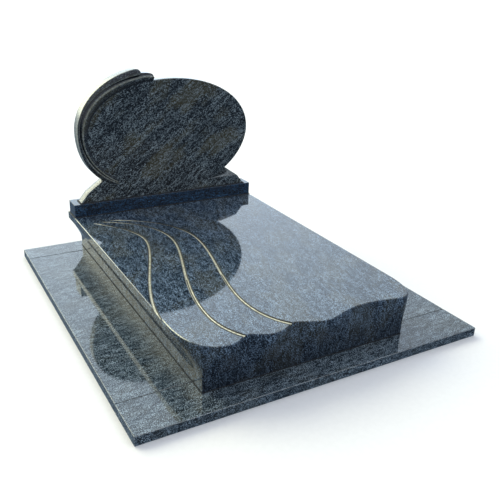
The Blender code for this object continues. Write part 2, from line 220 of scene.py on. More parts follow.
class GroupSketch:
    """A shader node group under construction, with short calls to add its nodes."""

    def __init__(self, name: str) -> None:
        """Start an empty group with the given name."""
        self.tree = bpy.data.node_groups.new(name, "ShaderNodeTree")
        self.source = self.tree.nodes.new("NodeGroupInput")
        self.target = self.tree.nodes.new("NodeGroupOutput")

    def takes(self, name: str, kind: str, value: object) -> bpy.types.NodeSocket:
        """Add an input.

        Args:
            name: The socket's name.
            kind: Its type, such as Float, Color or Vector.
            value: Its default.

        Returns:
            The socket to read inside the group.
        """
        socket = self.tree.interface.new_socket(name, in_out="INPUT", socket_type=f"NodeSocket{kind}")
        socket.default_value = value
        return self.source.outputs[name]

    def gives(self, name: str, kind: str, source: bpy.types.NodeSocket) -> None:
        """Add an output fed by a socket.

        Args:
            name: The output's name.
            kind: Its type, such as Float or Color.
            source: The socket that feeds it.
        """
        self.tree.interface.new_socket(name, in_out="OUTPUT", socket_type=f"NodeSocket{kind}")
        self.tree.links.new(source, self.target.inputs[name])

    def feed(self, socket: bpy.types.NodeSocket, value: object) -> None:
        """Link a socket to another, or set its value."""
        if isinstance(value, bpy.types.NodeSocket):
            self.tree.links.new(value, socket)
        else:
            socket.default_value = value

    def place(self) -> bpy.types.NodeSocket:
        """Return the position on the stone."""
        return self.tree.nodes.new("ShaderNodeTexCoord").outputs["Object"]

    def math(self, operation: str, first: object, second: object,
             kind: str = "ShaderNodeMath") -> bpy.types.NodeSocket:
        """Add a Math node.

        Args:
            operation: The node's operation.
            first: Its first value or socket.
            second: Its second value or socket.
            kind: The node's type.

        Returns:
            The result's socket.
        """
        node = self.tree.nodes.new(kind)
        node.operation = operation
        self.feed(node.inputs[0], first)
        self.feed(node.inputs[1], second)
        return node.outputs[0]

    def vector(self, operation: str, first: object, second: object) -> bpy.types.NodeSocket:
        """Add a Vector Math node, as math does with numbers."""
        return self.math(operation, first, second, "ShaderNodeVectorMath")

    def noise(self, place: bpy.types.NodeSocket, scale: object, detail: float,
              roughness: float = 0.5) -> bpy.types.NodeSocket:
        """Add a Noise texture.

        Args:
            place: The position to read it at.
            scale: Its scale, a value or a socket.
            detail: Its detail.
            roughness: Its roughness.

        Returns:
            The noise's value socket.
        """
        node = self.tree.nodes.new("ShaderNodeTexNoise")
        self.feed(node.inputs["Vector"], place)
        self.feed(node.inputs["Scale"], scale)
        node.inputs["Detail"].default_value = detail
        node.inputs["Roughness"].default_value = roughness
        return node.outputs[0]

    def ramp(self, value: bpy.types.NodeSocket, low: float, high: float,
             start: float = 0.0, end: float = 1.0) -> bpy.types.NodeSocket:
        """Add a smooth Map Range.

        Args:
            value: The socket to map.
            low: The value that gives start.
            high: The value that gives end.
            start: The result at low.
            end: The result at high.

        Returns:
            The result's socket.
        """
        node = self.tree.nodes.new("ShaderNodeMapRange")
        node.interpolation_type = "SMOOTHSTEP"
        self.feed(node.inputs["Value"], value)
        node.inputs["From Min"].default_value = low
        node.inputs["From Max"].default_value = high
        node.inputs["To Min"].default_value = start
        node.inputs["To Max"].default_value = end
        return node.outputs["Result"]

    def mix(self, factor: object, first: object, second: object) -> bpy.types.NodeSocket:
        """Add a colour Mix.

        Args:
            factor: How much of the second colour shows.
            first: The first colour or socket.
            second: The second colour or socket.

        Returns:
            The mixed colour's socket.
        """
        node = self.tree.nodes.new("ShaderNodeMix")
        node.data_type = "RGBA"
        self.feed(node.inputs[0], factor)
        self.feed(node.inputs[6], first)
        self.feed(node.inputs[7], second)
        return node.outputs[2]


@cache
def grain_group() -> bpy.types.NodeTree:
    """Return the granite grain: drawn-out light grains, veins, dull bands and warm tints."""
    grain_share = 0.70
    grain_roughness = 0.03
    sketch = GroupSketch("granite_grain")
    turn = sketch.takes("Turn", "Vector", (0.0, 0.0, 0.0))
    squeeze = sketch.takes("Squeeze", "Vector", (1.0, 1.0, 1.0))
    streaks = sketch.takes("Streaks", "Float", 0.3)
    warm_amount = sketch.takes("Warm Amount", "Float", 0.3)
    polish = sketch.takes("Polish", "Float", 0.05)
    dark = sketch.takes("Dark", "Color", (0.02, 0.02, 0.02, 1.0))
    middle = sketch.takes("Middle", "Color", (0.06, 0.06, 0.06, 1.0))
    light = sketch.takes("Light", "Color", (0.3, 0.3, 0.3, 1.0))
    warm = sketch.takes("Warm", "Color", (0.1, 0.08, 0.05, 1.0))
    rotate = sketch.tree.nodes.new("ShaderNodeVectorRotate")
    rotate.rotation_type = "EULER_XYZ"
    rotate.invert = True
    sketch.feed(rotate.inputs["Vector"], sketch.place())
    sketch.feed(rotate.inputs["Rotation"], turn)
    lying = rotate.outputs[0]
    drawn = sketch.vector("MULTIPLY", lying, squeeze)
    long = sketch.vector("MULTIPLY", drawn, squeeze)
    grains = sketch.noise(drawn, scale=310.0, detail=1.0, roughness=0.6)
    bands = sketch.noise(long, scale=70.0, detail=3.0, roughness=0.6)
    veins = sketch.noise(long, scale=150.0, detail=1.0)
    clouds = sketch.noise(drawn, scale=6.5, detail=3.0, roughness=0.6)
    shade = sketch.noise(long, scale=16.0, detail=2.0)
    blend = sketch.math("ADD", sketch.math("MULTIPLY", grains, grain_share),
                        sketch.math("MULTIPLY", bands, 1.0 - grain_share))
    ground = sketch.mix(sketch.ramp(blend, low=0.46, high=0.50), dark, middle)
    tint = sketch.math("MULTIPLY", sketch.ramp(clouds, low=0.46, high=0.60), warm_amount)
    ground = sketch.mix(tint, ground, warm)
    bright = sketch.ramp(blend, low=0.53, high=0.58)
    vein = sketch.math("MULTIPLY", sketch.ramp(veins, low=0.62, high=0.72), streaks)
    dulling = sketch.ramp(shade, low=0.36, high=0.62, start=0.65)
    mask = sketch.math("MULTIPLY", sketch.math("MAXIMUM", bright, vein), dulling)
    sketch.gives("Color", "Color", sketch.mix(mask, ground, light))
    dull = sketch.math("MULTIPLY", mask, grain_roughness)
    sketch.gives("Roughness", "Float", sketch.math("ADD", polish, dull))
    return sketch.tree


@cache
def arris_group() -> bpy.types.NodeTree:
    """Return the pale line along a block's arrises: partly a ground finish, where the saw cut was only
    ground, and partly a painted highlight.
    """
    # The pale arris line is partly a ground finish and partly a painted highlight, the same along every
    # arris.
    ground_and_highlight_tone = (0.42, 0.43, 0.42, 1.0)
    sketch = GroupSketch("arris_ground_and_highlight")
    stone = sketch.takes("Stone", "Color", (0.1, 0.1, 0.1, 1.0))
    low = sketch.takes("Low", "Vector", (0.0, 0.0, 0.0))
    high = sketch.takes("High", "Vector", (1.0, 1.0, 1.0))
    strength = sketch.takes("Strength", "Float", 1.0)
    place = sketch.place()
    inside = sketch.vector("MINIMUM", sketch.vector("SUBTRACT", place, low),
                           sketch.vector("SUBTRACT", high, place))
    split = sketch.tree.nodes.new("ShaderNodeSeparateXYZ")
    sketch.feed(split.inputs[0], inside)
    nearest = sketch.math("MINIMUM", split.outputs[0], split.outputs[1])
    further = sketch.math("MAXIMUM", split.outputs[0], split.outputs[1])
    second = sketch.math("MAXIMUM", nearest, sketch.math("MINIMUM", further, split.outputs[2]))
    line = sketch.ramp(second, low=0.0012, high=0.0026, start=1.0, end=0.0)
    broken_up = sketch.ramp(sketch.noise(place, scale=160.0, detail=2.0),
                        low=0.35, high=0.60, start=0.25, end=0.75)
    mask = sketch.math("MULTIPLY", sketch.math("MULTIPLY", line, broken_up), strength)
    sketch.gives("Color", "Color", sketch.mix(mask, stone, ground_and_highlight_tone))
    return sketch.tree


@cache
def relief_light_group() -> bpy.types.NodeTree:
    """Return painted light along marked edges: a painted highlight on crests and painted shade in creases."""
    # Painted shade colour for creases; the Pale input is the painted highlight colour for crests.
    painted_shade_tone = (0.004, 0.007, 0.013, 1.0)
    sketch = GroupSketch("relief_painted_light")
    stone = sketch.takes("Stone", "Color", (0.1, 0.1, 0.1, 1.0))
    pale = sketch.takes("Pale", "Color", (0.4, 0.4, 0.4, 1.0))
    marks = {}
    for mark in (PAINTED_HIGHLIGHT, PAINTED_SHADE):
        node = sketch.tree.nodes.new("ShaderNodeAttribute")
        node.attribute_name = mark
        marks[mark] = node.outputs["Fac"]
    broken_up = sketch.ramp(sketch.noise(sketch.place(), scale=130.0, detail=2.0),
                        low=0.35, high=0.60, start=0.45)
    shaded = sketch.mix(marks[PAINTED_SHADE], stone, painted_shade_tone)
    crest = sketch.math("MULTIPLY", marks[PAINTED_HIGHLIGHT], broken_up)
    sketch.gives("Color", "Color", sketch.mix(crest, shaded, pale))
    return sketch.tree


@cache
def grit_group() -> bpy.types.NodeTree:
    """Return one tone broken up by fine grit."""
    grit_tone = (0.02, 0.02, 0.02, 1.0)
    sketch = GroupSketch("fine_grit")
    tone = sketch.takes("Tone", "Color", (0.5, 0.5, 0.5, 1.0))
    amount = sketch.takes("Amount", "Float", 0.1)
    scale = sketch.takes("Scale", "Float", 400.0)
    grit = sketch.ramp(sketch.noise(sketch.place(), scale, detail=3.0), low=0.35, high=0.65)
    mask = sketch.math("MULTIPLY", grit, amount)
    sketch.gives("Color", "Color", sketch.mix(mask, tone, grit_tone))
    return sketch.tree


def link_piece(name: str, mesh: bpy.types.Mesh, smooth: float = SMOOTH_ANGLE) -> bpy.types.Object:
    """Add a mesh to the scene, shaded smooth but for its sharp edges.

    Args:
        name: The piece's name.
        mesh: Its mesh, in metres in the monument's own frame.
        smooth: The angle above which an edge stays sharp.

    Returns:
        The piece.
    """
    piece = bpy.data.objects.new(name, mesh)
    bpy.context.scene.collection.objects.link(piece)
    mesh.shade_smooth()
    mesh.set_sharp_from_angle(angle=smooth)
    return piece


def bezier(points: list[Vector], steps: int) -> list[Vector]:
    """Follow joined cubic curves.

    Args:
        points: Knots and handles, three more for each further curve.
        steps: Points on each curve.

    Returns:
        The points, without the first knot.
    """
    run = []
    for start in range(0, len(points) - 3, 3):
        a, b, c, d = points[start:start + 4]
        for step in range(1, steps + 1):
            t = step / steps
            s = 1.0 - t
            run.append(a * s ** 3 + b * 3 * s * s * t + c * 3 * s * t * t + d * t ** 3)
    return run


def normals_of(outline: list[Vector]) -> list[Vector]:
    """Return the outward normals at the points of a closed outline that runs anticlockwise.

    Args:
        outline: The outline's points.

    Returns:
        One normal a point, longer at a corner so that an offset keeps its width.
    """
    normals = []
    for index, point in enumerate(outline):
        before = (point - outline[index - 1]).normalized()
        after = (outline[(index + 1) % len(outline)] - point).normalized()
        sides = (Vector((before.y, -before.x)), Vector((after.y, -after.x)))
        mean = sides[0] + sides[1]
        if mean.length < HAIRPIN:
            normals.append(sides[0])
            continue
        mean.normalize()
        normals.append(mean / max(mean.dot(sides[0]), MITRE_LIMIT))
    return normals


def turned_left(outline: list[Vector]) -> list[Vector]:
    """Return a closed outline so that it runs anticlockwise."""
    area = sum(a.x * b.y - b.x * a.y for a, b in zip(outline, outline[1:] + outline[:1]))
    return outline if area > 0 else list(reversed(outline))


def skin_rings(shape: bmesh.types.BMesh, rings: list[list], capped: bool = True) -> None:
    """Join rings of vertices with faces, one ring to the next.

    Args:
        shape: The mesh under construction.
        rings: The rings, with as many vertices each.
        capped: Whether the first and the last ring are closed with a face.
    """
    for lower, upper in zip(rings, rings[1:]):
        for index in range(len(lower)):
            after = (index + 1) % len(lower)
            corners = (lower[index], lower[after], upper[after], upper[index])
            shape.faces.new([c for i, c in enumerate(corners) if c not in corners[:i]])
    if capped:
        shape.faces.new(rings[0])
        shape.faces.new(rings[-1])


def finished_piece(name: str, shape: bmesh.types.BMesh, smooth: float = SMOOTH_ANGLE) -> bpy.types.Object:
    """Turn a mesh under construction into a piece whose faces look outwards.

    Args:
        name: The piece's name.
        shape: The mesh under construction, which is freed.
        smooth: The angle above which an edge stays sharp.

    Returns:
        The piece.
    """
    bmesh.ops.remove_doubles(shape, verts=shape.verts, dist=TOUCH / 100)
    bmesh.ops.recalc_face_normals(shape, faces=shape.faces)
    mesh = bpy.data.meshes.new(name)
    shape.to_mesh(mesh)
    shape.free()
    return link_piece(name, mesh, smooth)


def cut(target: bpy.types.Object, cutters: list[bpy.types.Object]) -> None:
    """Cut pieces out of a stone, which takes on the finishes of the cutters where they went.

    Args:
        target: The stone.
        cutters: The cutting shapes, which are removed.
    """
    for cutter in cutters:
        step = target.modifiers.new(cutter.name, "BOOLEAN")
        step.operation = "DIFFERENCE"
        step.solver = "EXACT"
        step.material_mode = "TRANSFER"
        step.object = cutter
    settle(target)
    for cutter in cutters:
        bpy.data.objects.remove(cutter, do_unlink=True)


def keep_flat(mesh: bpy.types.Mesh, smallest: float = 0.002) -> None:
    """Keep large flat faces free of their rounded arrises' shading.

    Args:
        mesh: The mesh, shaded smooth.
        smallest: The area in square metres from which a many-sided face counts as large.
    """
    flat = [face for face in mesh.polygons if len(face.vertices) > 4 and face.area > smallest]
    rims = {key for face in flat for key in face.edge_keys}
    for edge in mesh.edges:
        if edge.key in rims:
            edge.use_edge_sharp = True


def settle(piece: bpy.types.Object) -> None:
    """Apply a piece's modifiers to its mesh."""
    graph = bpy.context.evaluated_depsgraph_get()
    mesh = bpy.data.meshes.new_from_object(piece.evaluated_get(graph))
    piece.modifiers.clear()
    piece.data = mesh


@dataclass
class ContactShadowBead:
    """A near-black bead round a stone's foot that paints the contact shadow in the joint under it."""

    name: str
    low: Share
    high: Share
    level: float
    bead: float
    section: tuple[Share, ...] = ((-2.0, 0.0), (0.7, 0.0), (0.62, 0.45), (0.35, 0.85), (-2.0, 0.85))

    def build(self) -> bpy.types.Object:
        """Build the bead round the stone's foot.

        Returns:
            The bead, a closed strip with a rounded outer face.
        """
        corners = [Vector(self.low), Vector((self.high[0], self.low[1])),
                   Vector(self.high), Vector((self.low[0], self.high[1]))]
        normals = normals_of(corners)
        shape = bmesh.new()
        rings = []
        for out, up in self.section:
            ring = []
            for corner, normal in zip(corners, normals):
                spot = corner + normal * out * self.bead
                ring.append(shape.verts.new((spot.x, spot.y, self.level + up * self.bead)))
            rings.append(ring)
        skin_rings(shape, rings + rings[:1], capped=False)
        piece = finished_piece(self.name, shape)
        piece.data.materials.append(CONTACT_SHADOW_TONE.material(self.name))
        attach(piece, BODY)
        LOG.info("%s: bead %.1f mm", self.name, self.bead * 1000)
        return piece


@dataclass
class PlainStones:
    """Squared stones that keep their solids."""

    names: tuple[str, ...]
    finish: Granite
    # ground sets how strong the pale arris line, partly a painted highlight, is.
    ground: float = 1.0

    def dress(self, nodes: dict[str, bpy.types.Object]) -> None:
        """Give each stone its polished granite with ground arrises, whose pale line is partly a painted
        highlight.

        Args:
            nodes: The solids by name.
        """
        for name in self.names:
            low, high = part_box(name)
            polish = self.finish.material(f"{name}_polish", (Vector(low), Vector(high)), self.ground)
            nodes[name].data.materials.clear()
            nodes[name].data.materials.append(polish)
            LOG.info("%s: polished granite", name)


@dataclass
class TombSlab:
    """The thick slab with its lobed front, overhanging lip and three carved folds."""

    left: float
    front: float
    bottom: float
    top: float
    width: float = 1.115
    length: float = 1.791
    upright: float = 0.065
    lip: float = 0.045
    side_overhang: float = 0.062
    rear_overhang: float = 0.042
    lobe_reach: float = 0.048
    left_run: float = 0.260
    right_run: float = 0.200
    left_front_handle: Share = (0.08, 0.73)
    left_side_handle: float = 0.23
    right_front_handle: Share = (0.40, 0.62)
    right_side_handle: float = 0.30
    slope_power: float = 1.3
    slope_steps: int = 8
    # front_shade is painted shade on the front face, darkest at its foot; the next two set where the left
    # arris gets its painted highlight.
    front_shade: float = 0.6
    highlight_from: float = 0.90
    highlight_full: float = 0.98333
    groove_half: float = 0.0060
    groove_depth: float = 0.0072
    groove_arris: float = 0.0032
    groove_over: float = 0.004
    groove_lift: float = 0.0002
    groove_runout: float = 0.001
    groove_fade: float = 0.30
    groove_flares: tuple[float, ...] = (0.10, 0.75, 0.75)
    twin_from: float = 0.4
    twin_rows: Share = (1.0, 3.0)
    pale_rows: float = 2.0
    bed_steps: int = 8
    steps: int = 22
    finish: Granite = SLAB_STONE
    wave_start: Share = (0.094, 0.81)
    wave: tuple = (
        ((0.130, 0.81), (0.157, 0.37), (0.181, -0.08)),
        ((0.220, -0.04), (0.247, 0.83), (0.289, 0.85)),
        ((0.327, 0.87), (0.366, 0.46), (0.396, -0.08)),
        ((0.438, -0.06), (0.489, 1.00), (0.550, 1.00)),
        ((0.610, 1.00), (0.646, 0.00), (0.753, -0.04)),
        ((0.870, -0.12), (0.906, 0.56), (0.958, 0.56)),
    )
    folds: tuple = (
        ((0.000, 0.871), (0.108, 0.810), (0.186, 0.743), (0.186, 0.670),
         (0.186, 0.558), (-0.045, 0.335), (-0.060, 0.160)),
        ((0.036, 0.871), (0.179, 0.838), (0.318, 0.759), (0.316, 0.642),
         (0.316, 0.519), (0.120, 0.307), (0.120, 0.123),
         (0.120, 0.072), (0.142, 0.028), (0.186, -0.008)),
        ((0.072, 0.874), (0.269, 0.849), (0.436, 0.737), (0.436, 0.614),
         (0.436, 0.469), (0.309, 0.290), (0.309, 0.156),
         (0.309, 0.089), (0.336, 0.034), (0.402, -0.008)),
    )

    def outline(self) -> list[Vector]:
        """Return the slab's top outline from the rear left corner along the left side and the front."""
        start = Vector((self.wave_start[0] * self.width, -self.wave_start[1] * self.lobe_reach))
        wave = [start]
        for stretch in self.wave:
            knots = [wave[-1]]
            knots += [Vector((x * self.width, -y * self.lobe_reach)) for x, y in stretch]
            wave += bezier(knots, self.steps)
        left = -self.side_overhang
        right = self.width + self.side_overhang
        rear = self.length + self.rear_overhang
        out, reach = self.left_front_handle
        turn = [Vector((left, self.left_run)), Vector((left, self.left_run * self.left_side_handle)),
                Vector((left * out, -self.lobe_reach * reach)), wave[0]]
        out, reach = self.right_front_handle
        back = [wave[-1], Vector((self.width + self.side_overhang * out, -self.lobe_reach * reach)),
                Vector((right, self.right_run * self.right_side_handle)), Vector((right, self.right_run))]
        outline = [Vector((left, rear)), turn[0]]
        outline += bezier(turn, self.steps)[:-1] + wave + bezier(back, self.steps)
        outline.append(Vector((right, rear)))
        return outline

    def feet(self, outline: list[Vector]) -> list[Vector]:
        """Return the points of the rectangular body below the outline's points.

        Args:
            outline: The top outline's points.

        Returns:
            As many points on the body's edge.
        """
        corners = (Vector((0.0, 0.0)), Vector((self.width, 0.0)))
        turns = [min(range(len(outline)), key=lambda i: (outline[i] - corner).length) for corner in corners]
        feet = []
        for index, point in enumerate(outline):
            along = min(max(point.y, 0.0), self.length)
            across = min(max(point.x, 0.0), self.width)
            if index < turns[0]:
                feet.append(Vector((0.0, along)))
            elif index > turns[1]:
                feet.append(Vector((self.width, along)))
            elif index in turns:
                feet.append(corners[turns.index(index)].copy())
            else:
                feet.append(Vector((across, 0.0)))
        return feet

    def sections(self) -> list[tuple[float, float, float]]:
        """Return the side's levels: height over the bed, share of the overhang, and inset."""
        high = self.top - self.bottom
        lip_bottom = high - self.lip
        arris = Edge.ROUNDED.value
        levels = [(0.0, 0.0, 0.0), (self.upright, 0.0, 0.0)]
        for step in range(1, self.slope_steps):
            share = step / self.slope_steps
            height = self.upright + (lip_bottom - self.upright) * share
            levels.append((height, share ** self.slope_power, 0.0))
        levels.append((lip_bottom, 1.0, 0.0))
        for step in range(ARRIS_STEPS + 1):
            turn = math.pi / 2 * step / ARRIS_STEPS
            levels.append((high - arris + arris * math.sin(turn), 1.0, arris * (1.0 - math.cos(turn))))
        return levels

    def body(self) -> bpy.types.Object:
        """Build the slab without its folds.

        Its left arris carries a painted highlight where it faces left, and its front face painted shade that
        darkens towards its foot.

        Returns:
            The slab.
        """
        outline = self.outline()
        feet = self.feet(outline)
        normals = normals_of(outline)
        shape = bmesh.new()
        highlights = shape.verts.layers.float.new(PAINTED_HIGHLIGHT)
        shades = shape.verts.layers.float.new(PAINTED_SHADE)
        rings = []
        sections = self.sections()
        lip_bottom = self.top - self.bottom - self.lip
        arris_levels = (len(sections) - 3, len(sections) - 2)
        for level, (height, share, inset) in enumerate(sections):
            ring = []
            for top, foot, normal in zip(outline, feet, normals):
                spot = foot.lerp(top - normal * inset, share) if share else foot
                corner = shape.verts.new((self.left + spot.x, self.front + spot.y, self.bottom + height))
                # Painted highlight on the left-facing arris, and painted shade down the front face towards
                # its foot.
                if level in arris_levels:
                    leftward = (-normal.x - self.highlight_from) / (self.highlight_full - self.highlight_from)
                    corner[highlights] = max(0.0, min(1.0, leftward))
                if foot.y < TOUCH:
                    corner[shades] = self.front_shade * max(0.0, 1.0 - height / lip_bottom)
                ring.append(corner)
            rings.append(ring)
        skin_rings(shape, rings)
        slab = finished_piece("tomb_slab_stone", shape)
        slab.data.materials.append(self.finish.material("slab_polish", painted_light=True))
        return slab

    def groove(self, number: int, fold: tuple, flank: bpy.types.Material,
               bed: bpy.types.Material) -> bpy.types.Object:
        """Build the shape that cuts one fold's groove, with rounded shoulders.

        The bottom is a pale painted reflection and the shoulders a dark painted reflection. Where the groove
        has widened, its middle is dark between two pale painted lines.

        Args:
            number: The fold's number from the left.
            fold: Its knots and handles, as shares of the slab's width and length.
            flank: The dark painted reflection on the groove's shoulders.
            bed: The pale painted reflection in its bottom.

        Returns:
            The cutting shape.
        """
        knots = [Vector((x * self.width, y * self.length)) for x, y in fold]
        route = [knots[0]] + bezier(knots, self.steps * 2)
        half, depth, arris = self.groove_half, self.groove_depth, self.groove_arris
        right = [(half + arris, self.groove_over)]
        for step in range(ARRIS_STEPS + 1):
            turn = math.pi / 2 * step / ARRIS_STEPS
            right.append((half + arris * (1.0 - math.sin(turn)),
                          -arris + arris * math.cos(turn) + self.groove_lift))
        bottom = []
        for step in range(1, self.bed_steps):
            turn = math.pi * step / self.bed_steps
            bottom.append((half * math.cos(turn), -arris - (depth - arris) * math.sin(turn)))
        left = [(-x, y) for x, y in reversed(right)]
        profile = right + bottom + left
        flare = self.groove_flares[number - 1]
        shape = bmesh.new()
        rings = []
        for index, spot in enumerate(route):
            ahead = route[min(index + 1, len(route) - 1)]
            behind = route[max(index - 1, 0)]
            way = (ahead - behind).normalized()
            side = Vector((-way.y, way.x))
            share = index / (len(route) - 1)
            rise = (depth + self.groove_runout) * max(0.0, 1.0 - share / self.groove_fade) ** 2
            wide = 1.0 + flare * share * share
            ring = []
            for across, up in profile:
                where = spot + side * across * wide
                height = self.top + up + rise
                ring.append(shape.verts.new((self.left + where.x, self.front + where.y, height)))
            rings.append(ring)
        skin_rings(shape, rings)
        count = len(profile)
        near, far = self.twin_rows
        for index, face in enumerate(shape.faces):
            ring, place = divmod(index, count)
            off_middle = abs(place - (count - 2) / 2)
            twin = flare * ring / len(route) > self.twin_from
            pale = near < off_middle < far if twin else off_middle < self.pale_rows
            face.material_index = 1 if pale else 0
        cutter = finished_piece(f"fold_groove_{number}", shape)
        cutter.data.materials.append(flank)
        cutter.data.materials.append(bed)
        return cutter

    def build(self) -> bpy.types.Object:
        """Build the slab with its folds and set it in place of its plain solid.

        Returns:
            The slab.
        """
        slab = self.body()
        flank = GROOVE_FLANK_DARK_REFLECTION.material("groove_flank_dark_reflection")
        bed = GROOVE_BED_LIT_REFLECTION.material("groove_bed_lit_reflection")
        cut(slab, [self.groove(number, fold, flank, bed) for number, fold in enumerate(self.folds, start=1)])
        slab.data.set_sharp_from_angle(angle=SMOOTH_ANGLE)
        for edge in slab.data.edges:
            ends = [slab.data.vertices[index].co.z for index in edge.vertices]
            if all(abs(z - self.top + self.lip) < TOUCH / 5 for z in ends):
                edge.use_edge_sharp = True
        keep_flat(slab.data)
        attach(slab, BODY)
        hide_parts("tomb_slab")
        LOG.info("tomb slab: %d faces", len(slab.data.polygons))
        return slab


@dataclass
class Headstone:
    """The stone with a flared foot, an oval disc and two crescent bands on the disc's left edge."""

    axis: float
    face: float
    bottom: float
    height: float = 0.798
    thickness: float = 0.068
    foot_width: float = 1.146
    shoulder_height: float = 0.063
    neck_height: float = 0.134
    shoulder_inset: float = 0.051
    neck_inset: float = 0.150
    foot_top_height: float = 0.201
    foot_top_inset: float = 0.235
    facet_start: float = 0.183
    facet_angle: float = math.radians(40)
    foot_proud: float = 0.00006
    disc_inset: float = 0.0003
    inner_inset: float = 0.0006
    outer_inset: float = 0.0012
    outer_crest: float = 0.020
    inner_crest: float = 0.012
    inner_tuck: float = 0.30
    disc_centre: Share = (-0.035, 0.439)
    disc_half: Share = (0.770, 0.476)
    disc_tilt: float = math.radians(7.1)
    disc_angles: Share = (math.radians(97), math.radians(-62))
    bands_end: Share = (-0.307, 0.096)
    outer_edge: tuple = ((-0.551, 0.113), (-0.709, 0.276), (-0.709, 0.539),
                         (-0.709, 0.777), (-0.501, 0.946), (-0.257, 0.999))
    outer_step: tuple = ((-0.501, 0.148), (-0.694, 0.313), (-0.694, 0.551),
                         (-0.694, 0.752), (-0.501, 0.909), (-0.213, 0.955))
    inner_step: tuple = ((-0.451, 0.182), (-0.640, 0.313), (-0.640, 0.489),
                         (-0.640, 0.702), (-0.476, 0.852), (-0.150, 0.912))
    outer_tip: tuple = ((-0.230, 1.004), (-0.208, 0.998), (-0.206, 0.976))
    outer_tip_under: tuple = ((-0.207, 0.955), (-0.205, 0.962), (-0.206, 0.976))
    inner_tip: tuple = ((-0.168, 0.970), (-0.099, 0.978), (-0.093, 0.935))
    inner_tip_under: tuple = ((-0.125, 0.909), (-0.096, 0.904), (-0.093, 0.935))
    tip_steps: int = 14
    band_swell: float = 0.36
    band_root: float = 0.0015
    # Painted light on the bands: extra painted highlight at their thin ends, painted shade strength, and
    # where along the band the rim's painted highlight grows.
    highlight_gain: float = 0.3
    shade_gain: float = 8.0
    rim_highlight: Share = (0.40, 0.65)
    smooth_angle: float = math.radians(40.0)
    outer_profile: tuple = (
        (0.0, 0.20, 0.0, 1.0), (0.03, 0.62, 0.0, 1.0), (0.08, 0.86, 0.14, 0.3), (0.18, 0.97, 0.20, 0.0),
        (0.30, 1.0, 0.08, 0.2), (0.44, 0.97, 0.0, 0.70), (0.60, 0.88, 0.0, 0.40), (0.78, 0.74, 0.0, 0.60),
        (0.92, 0.56, 0.0, 0.4), (0.98, 0.40, 0.1, 0.0), (1.0, 0.22, 0.5, 0.0),
    )
    inner_profile: tuple = (
        (-0.18, 0.15, 0.0, 0.0), (-0.05, 0.16, 0.0, 1.0), (0.0, 0.20, 0.0, 1.0), (0.02, 0.50, 0.0, 1.0),
        (0.05, 0.68, 0.06, 0.8), (0.10, 0.77, 0.0, 0.60), (0.26, 0.88, 0.0, 0.50), (0.42, 0.96, 0.05, 0.20),
        (0.50, 1.0, 0.38, 0.0), (0.57, 0.92, 0.22, 0.0), (0.65, 0.66, 0.0, 0.60), (0.74, 0.38, 0.0, 0.9),
        (0.86, 0.16, 0.0, 1.0), (1.0, 0.0, 0.0, 1.0),
    )
    steps: int = 40
    finish: Granite = HEAD_STONE

    def share(self, spot: Share) -> Vector:
        """Return a point given in shares of the height, in metres from the middle of the foot."""
        return Vector((spot[0] * self.height, spot[1] * self.height))

    def spot(self, flat: Vector, back: float) -> Vector:
        """Return a flat point's place in the monument, at a distance behind the stone's face."""
        return Vector((self.axis + flat.x, self.face + back, self.bottom + flat.y))

    def ellipse(self, angle: float) -> Vector:
        """Return the disc's edge at an angle."""
        along = self.disc_half[0] * math.cos(angle)
        up = self.disc_half[1] * math.sin(angle)
        x = self.disc_centre[0] + along * math.cos(self.disc_tilt) - up * math.sin(self.disc_tilt)
        z = self.disc_centre[1] + along * math.sin(self.disc_tilt) + up * math.cos(self.disc_tilt)
        return self.share((x, z))

    def line(self, knots: tuple) -> list[Vector]:
        """Return one edge of a band, from the bands' common end to its tip."""
        spots = [self.share(self.bands_end)] + [self.share(spot) for spot in knots]
        return [spots[0]] + bezier(spots, self.steps)

    def plate(self, name: str, outline: list[Vector], front: float, back: float,
              arris: float) -> bpy.types.Object:
        """Build an upright plate with rounded edges.

        Args:
            name: The piece's name.
            outline: Its outline in metres from the middle of the foot.
            front: Its front, measured back from the stone's face.
            back: Its back, measured the same way.
            arris: The radius of its edges.

        Returns:
            The plate.
        """
        outline = turned_left(outline)
        normals = normals_of(outline)
        shape = bmesh.new()
        levels = [(front + arris * (1.0 - math.sin(t)), arris * (1.0 - math.cos(t)))
                  for t in (math.pi / 2, math.pi / 3, math.pi / 6, 0.0)]
        levels += [(back - depth + front, inset) for depth, inset in reversed(levels)]
        rings = []
        for depth, inset in levels:
            ring = [shape.verts.new(self.spot(point - normal * inset, depth))
                    for point, normal in zip(outline, normals)]
            rings.append(ring)
        skin_rings(shape, rings)
        return finished_piece(name, shape)

    def disc(self) -> bpy.types.Object:
        """Build the disc, its left edge hidden under the bands."""
        left = self.line(self.inner_step)
        middle = self.line(self.outer_step)
        hidden = [(near + far) / 2 for near, far in zip(left, middle)]
        start, end = self.disc_angles
        count = self.steps * 3
        arc = [self.ellipse(start + (end - start) * step / count) for step in range(count + 1)]
        back = self.thickness - self.disc_inset
        return self.plate("headstone_disc", hidden[1:-4] + arc, 0.0, back, Edge.ROUNDED.value)

